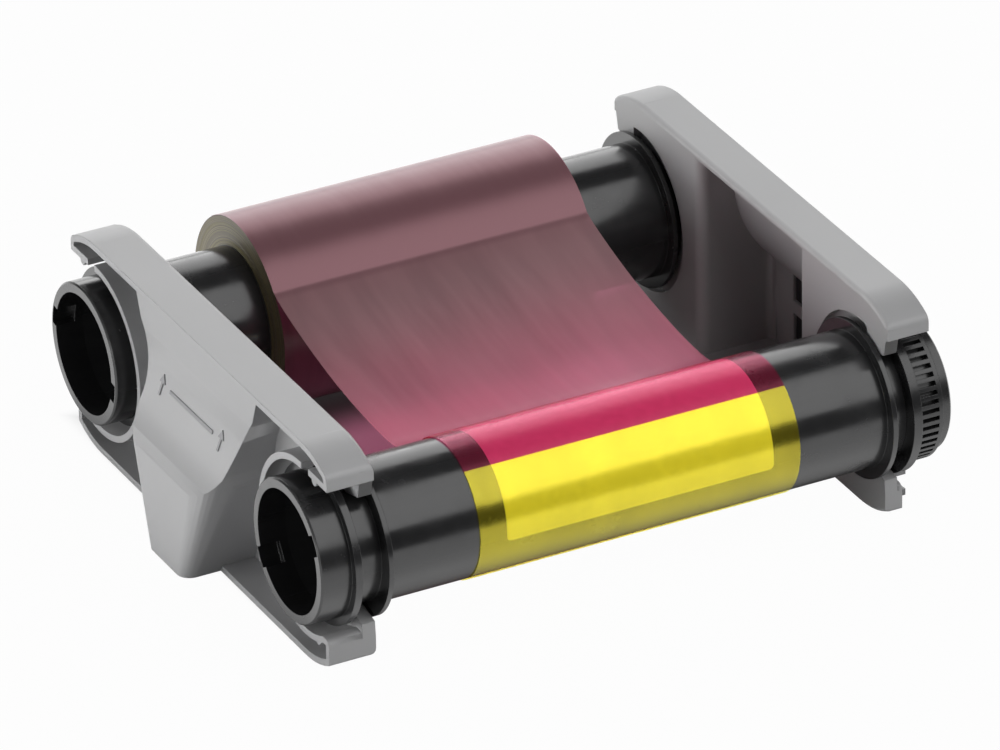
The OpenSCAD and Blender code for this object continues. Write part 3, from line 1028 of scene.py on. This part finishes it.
@dataclass(frozen=True)
class Studio:
    """Pale floor, soft lamps and the camera of the photograph.

    Attributes:
        azimuth: The camera's turn from the depth towards the right, in degrees.
        elevation: How far it looks down, in degrees.
        roll: Its tilt, in degrees.
        camera_at: Its place in millimetres.
        lens: Its focal length in millimetres.
        floor_half: Half the floor's width in metres.
        floor_colour: The floor's paper.
        bay_front_painted_light: Paper towards the take-up spool between the flasks: painted light.
        bay_rear_painted_shade: Paper under the roll, painted dark: painted shade.
        bay_shade: Where the painted light turns to the painted shade along Y, in millimetres.
        near_painted_glow: Painted reflection: glow of the paper for gloss near the cassette.
        far_painted_glow: Painted reflection: its glow for gloss far in front.
        far_floor: Where the one turns to the other along Y, in millimetres.
        floor_share: Share of plain white in the floor, the rest being its shadow.
        bay: Half width, half depth, middle along Y and half the soft edge of the paper that is
            seen as it is lit, in millimetres.
        shade: The same for gloss.
        wall_light: Brightness of the low surround.
        wall_top: Height of a ray up to which the surround is full, and from which it is none.
        wall_front: The same along Y, from none to full.
        wall_left: The same along X, from plain to its full gain.
        wall_left_gain: How much brighter the surround is at the left.
        sky_light: Brightness of the rest.
        softboxes: The lamps.
    """

    azimuth: float = 27.162
    elevation: float = 28.9
    roll: float = -0.975
    camera_at: tuple[float, float, float] = (-715.9, -1397.1, 884.5)
    lens: float = 381.7
    floor_half: float = 3.0
    floor_colour: str = "a8a8a8"
    # Painted light and shade on the paper between the flasks.
    bay_front_painted_light: str = "e8e8e8"
    bay_rear_painted_shade: str = "6a6a6a"
    bay_shade: tuple[float, float] = (20.0, 33.0)
    # Painted reflection: the paper's glow for gloss, brighter than white near and dark far off.
    near_painted_glow: float = 1.6
    far_floor: tuple[float, float] = (-190.0, -130.0)
    far_painted_glow: float = 0.06
    floor_share: float = 0.975
    bay: tuple[float, float, float, float] = (52.0, 34.0, 14.0, 6.0)
    shade: tuple[float, float, float, float] = (66.0, 52.0, 2.0, 10.0)
    wall_light: float = 0.8
    wall_top: tuple[float, float] = (0.12, 0.24)
    wall_front: tuple[float, float] = (-0.6, 0.1)
    wall_left: tuple[float, float] = (-0.35, -0.85)
    wall_left_gain: float = 11.5
    sky_light: float = 0.04
    softboxes: tuple[Softbox, ...] = (
        Softbox("rear_softbox", (0.32, 0.9, 0.5), (1.0, 0.82), 6.5),
        Softbox("front_softbox", (0.32, -0.54, 0.69), (1.0, 0.94), 6.8))

    def camera(self) -> None:
        """Adds the camera."""
        data = bpy.data.cameras.new("camera")
        data.lens = self.lens
        data.sensor_width = 36.0
        data.clip_start = 0.05
        data.clip_end = 20.0
        cam = bpy.data.objects.new("camera", data)
        az, el, roll = (math.radians(a) for a in (self.azimuth, self.elevation, self.roll))
        look = Vector((math.sin(az) * math.cos(el), math.cos(az) * math.cos(el), -math.sin(el)))
        right = Vector((math.cos(az), -math.sin(az), 0.0))
        up = right.cross(look)
        tilted = right * math.cos(roll) + up * math.sin(roll)
        raised = -right * math.sin(roll) + up * math.cos(roll)
        turn = Matrix((tilted, raised, -look)).transposed()
        cam.matrix_world = Matrix.Translation(Vector(self.camera_at) * MM) @ turn.to_4x4()
        bpy.context.scene.collection.objects.link(cam)
        bpy.context.scene.camera = cam

    def seen(self, tree: Tree, gloss: bool) -> Socket:
        """Adds a value that is 1 for rays that show the background and 0 for those that light.

        Args:
            tree: The floor's or the world's node tree.
            gloss: Whether rays of gloss show it too.

        Returns:
            The value.
        """
        path = add(tree, "LightPath").node
        value = path.outputs["Is Camera Ray"]
        for kind in ("Transmission", "Glossy") if gloss else ("Transmission",):
            value = add(tree, "Math", {0: value, 1: path.outputs["Is " + kind + " Ray"]},
                        operation="MAXIMUM")
        return value

    def outside(self, tree: Tree, area: tuple[float, float, float, float]) -> Socket:
        """Adds a value that is 0 inside a rectangle of the floor and rises softly to 1 round it.

        Args:
            tree: The floor's node tree.
            area: Half width, half depth, middle along Y and half the soft edge, in millimetres.

        Returns:
            The value.
        """
        half_x, half_y, mid_y, edge = area
        centred = add(tree, "Mapping", {"Vector": add(tree, "TexCoord", output="Object"),
                                        "Location": (0.0, -mid_y * MM, 0.0)})
        place = add(tree, "SeparateXYZ", {"Vector": centred}).node
        parts = []
        for name, half in (("X", half_x), ("Y", half_y)):
            far = add(tree, "Math", {0: place.outputs[name]}, operation="ABSOLUTE")
            parts.append(add(tree, "MapRange", {"Value": far, "From Min": (half - edge) * MM,
                                                "From Max": (half + edge) * MM},
                             interpolation_type="SMOOTHSTEP"))
        return add(tree, "Math", dict(enumerate(parts)), operation="MAXIMUM")

    def floor(self) -> None:
        """Adds a white floor with a faint shadow, seen as it is lit under the cassette."""
        bm = bmesh.new()
        bmesh.ops.create_grid(bm, x_segments=1, y_segments=1, size=self.floor_half)
        mesh = bpy.data.meshes.new("floor")
        bm.to_mesh(mesh)
        bm.free()
        material, tree, out = new_material("floor_paper")
        is_gloss = add(tree, "LightPath", output="Is Glossy Ray")
        # Gloss shows the floor near the cassette as it is lit, in its shadow.
        bare = add(tree, "MixRGB", {"Fac": is_gloss, "Color1": self.outside(tree, self.bay),
                                    "Color2": self.outside(tree, self.shade)})
        shown = add(tree, "Math", {0: self.seen(tree, True), 1: bare}, operation="MULTIPLY")
        # Painted light and shade: the paper towards the take-up spool is painted lighter than the
        # floor, and the paper under the rear roll is painted dark.
        row = add(tree, "SeparateXYZ", {"Vector": add(tree, "TexCoord", output="Object")}, "Y")
        deep = add(tree, "MapRange", {"Value": row, "From Min": self.bay_shade[0] * MM,
                                      "From Max": self.bay_shade[1] * MM},
                   interpolation_type="SMOOTHSTEP")
        under = add(tree, "MixRGB", {"Fac": deep, "Color1": linear(self.bay_front_painted_light),
                                     "Color2": linear(self.bay_rear_painted_shade)})
        paper = add(tree, "MixRGB", {"Fac": self.outside(tree, self.bay), "Color1": under,
                                     "Color2": linear(self.floor_colour)})
        lit = add(tree, "BsdfDiffuse", {"Color": paper})
        # Painted reflection: gloss alone sees the paper glow brighter than white near the cassette
        # and dark far in front of it.
        painted_reflection_glow = add(tree, "MapRange", {"Value": row, "From Min": self.far_floor[0] * MM,
                                       "From Max": self.far_floor[1] * MM,
                                       "To Min": self.far_painted_glow, "To Max": self.near_painted_glow},
                    interpolation_type="SMOOTHSTEP")
        strength = add(tree, "MixRGB", {"Fac": is_gloss, "Color1": (1, 1, 1, 1), "Color2": painted_reflection_glow})
        bright = add(tree, "Emission", {"Strength": 1.0, "Color": strength})
        share = add(tree, "Math", {0: shown, 1: self.floor_share}, operation="MULTIPLY")
        both = add(tree, "MixShader", {"Fac": share, 1: lit, 2: bright})
        tree.links.new(both, out.inputs["Surface"])
        mesh.materials.append(material)
        floor = bpy.data.objects.new("floor", mesh)
        bpy.context.scene.collection.objects.link(floor)

    def world(self) -> None:
        """Sets a low white surround at the sides and rear, dark elsewhere, all seen white."""
        world = bpy.data.worlds.new("studio")
        world.use_nodes = True
        tree = world.node_tree
        tree.nodes.clear()
        ray = add(tree, "TexCoord", output="Generated")
        towards = add(tree, "SeparateXYZ", {"Vector": ray}).node
        shares = [add(tree, "MapRange", {"Value": towards.outputs[name], "From Min": none,
                                         "From Max": full}, interpolation_type="SMOOTHSTEP")
                  for name, none, full in (("Z", self.wall_top[1], self.wall_top[0]),
                                           ("Y", self.wall_front[0], self.wall_front[1]))]
        wall = add(tree, "Math", dict(enumerate(shares)), operation="MULTIPLY")
        # The low surround is brightest at the left, where the grip's scoop faces it.
        left = add(tree, "MapRange", {"Value": towards.outputs["X"], "From Min": self.wall_left[0],
                                      "From Max": self.wall_left[1], "To Min": 1.0,
                                      "To Max": self.wall_left_gain},
                   interpolation_type="SMOOTHSTEP")
        even = add(tree, "MapRange", {"Value": wall, "To Min": self.sky_light,
                                      "To Max": self.wall_light})
        lit = add(tree, "Math", {0: even, 1: left}, operation="MULTIPLY")
        strength = add(tree, "MixRGB", {"Fac": self.seen(tree, False), "Color1": lit,
                                        "Color2": (1, 1, 1, 1)})
        back = add(tree, "Background", {"Strength": 1.0, "Color": strength})
        out = tree.nodes.new("ShaderNodeOutputWorld")
        tree.links.new(back, out.inputs["Surface"])
        bpy.context.scene.world = world

    def build(self) -> None:
        """Adds everything round the object."""
        self.camera()
        self.floor()
        self.world()
        for softbox in self.softboxes:
            softbox.build()
        bpy.context.scene.view_settings.view_transform = "Standard"


def main() -> None:
    """Builds the cassette's looks, piece by piece."""
    logging.basicConfig(level=logging.INFO, format="%(name)s: %(message)s")
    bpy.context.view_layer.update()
    Studio().build()
    finishes = Finishes()
    for side in Side:
        Flask(side, finishes).build()
    UpMark(finishes).build()
    for body in (Body.SUPPLY, Body.TAKE_UP):
        Spool(body, finishes).build()
    WoundRoll(finishes).build()
    FilmSpan(finishes).build()
    TakeUpFilm(finishes).build()
    dress_node("supply_leader", finishes.tape)
    dress_node("identity_tag", finishes.tag)


if __name__ == "__main__":
    main()
